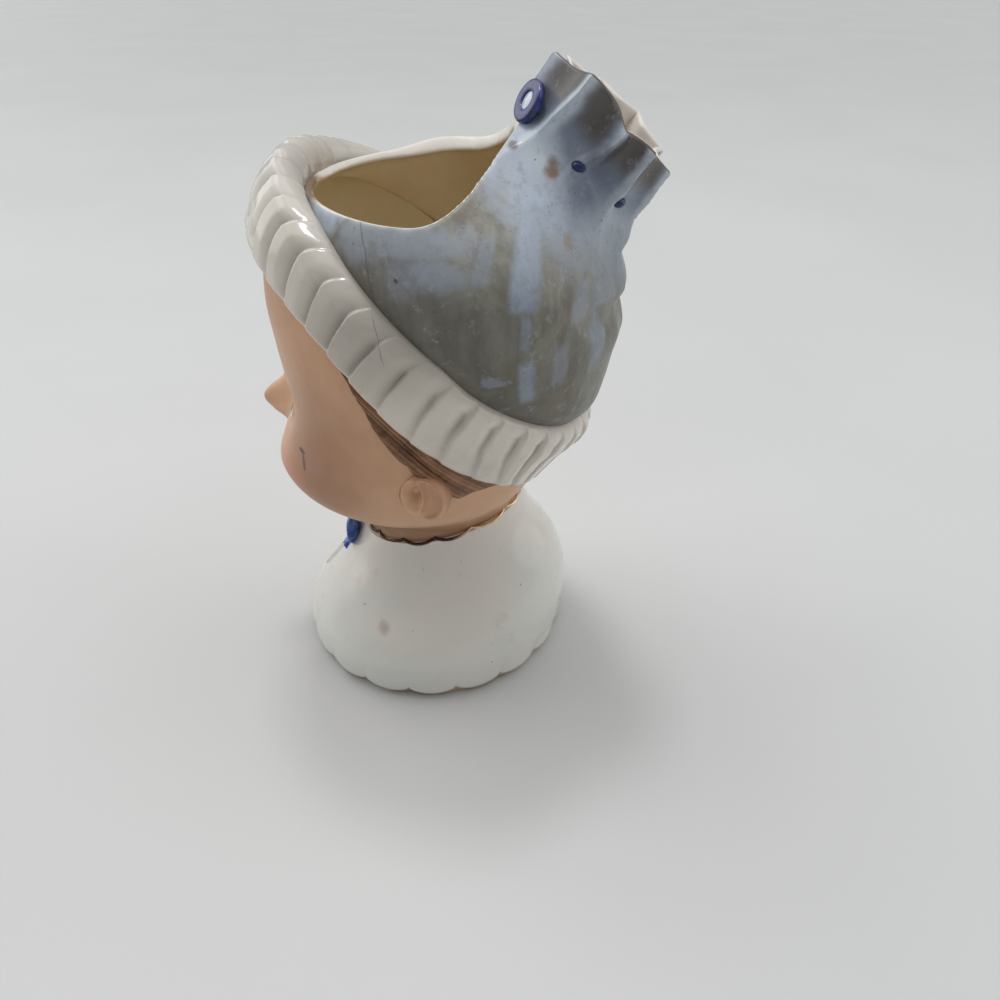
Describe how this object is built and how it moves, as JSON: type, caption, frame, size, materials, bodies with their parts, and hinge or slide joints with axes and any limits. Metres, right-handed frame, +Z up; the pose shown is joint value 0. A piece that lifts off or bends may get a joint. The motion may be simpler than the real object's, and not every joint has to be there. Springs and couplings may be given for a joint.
{
  "type": "head planter",
  "caption": "Small glazed head planter: a round head in a ribbed, tilted knit hat on a bell-shaped shoulder base, with an open mouth for a plant in the hat.",
  "frame": {"origin": "centre of the hem where the base rests on the table", "axes": "+Z up, the face looks along -Y, +X is the side of the figure's left ear"},
  "size_m": [0.0868, 0.0969, 0.1508],
  "materials": {
    "worn_gilt": "worn gilt line over the glaze",
    "white_glaze": "gloss",
    "cream_glaze": "gloss",
    "cobalt_glaze": "gloss",
    "flesh_bisque": "satin",
    "eye_paint": "gloss",
    "lip_paint": "satin",
    "brown_hair": "satin",
    "blue_wash": "satin, pale blue over grey"
  },
  "bodies": {
    "root": {"bow_knot": "cobalt_glaze", "bow_loop_left": "cobalt_glaze", "bow_loop_right": "cobalt_glaze", "bow_tail_left": "cobalt_glaze", "bow_tail_right": "cobalt_glaze", "cape_placket": "white_glaze", "collar_edge": "worn_gilt", "ear_left": "flesh_bisque", "ear_right": "flesh_bisque", "eye_left": "eye_paint", "eye_right": "eye_paint", "forelock": "brown_hair", "hair_left": "brown_hair", "hair_right": "brown_hair", "hat_crown": "blue_wash", "hat_cuff": "cream_glaze", "hat_tail": "blue_wash", "head": "flesh_bisque", "hem_band": "worn_gilt", "lips": "lip_paint", "shoulder_cape": "white_glaze", "tie_bead": "white_glaze", "tie_ring": "cobalt_glaze", "tie_stitches": "cobalt_glaze"}
  },
  "joints": []
}
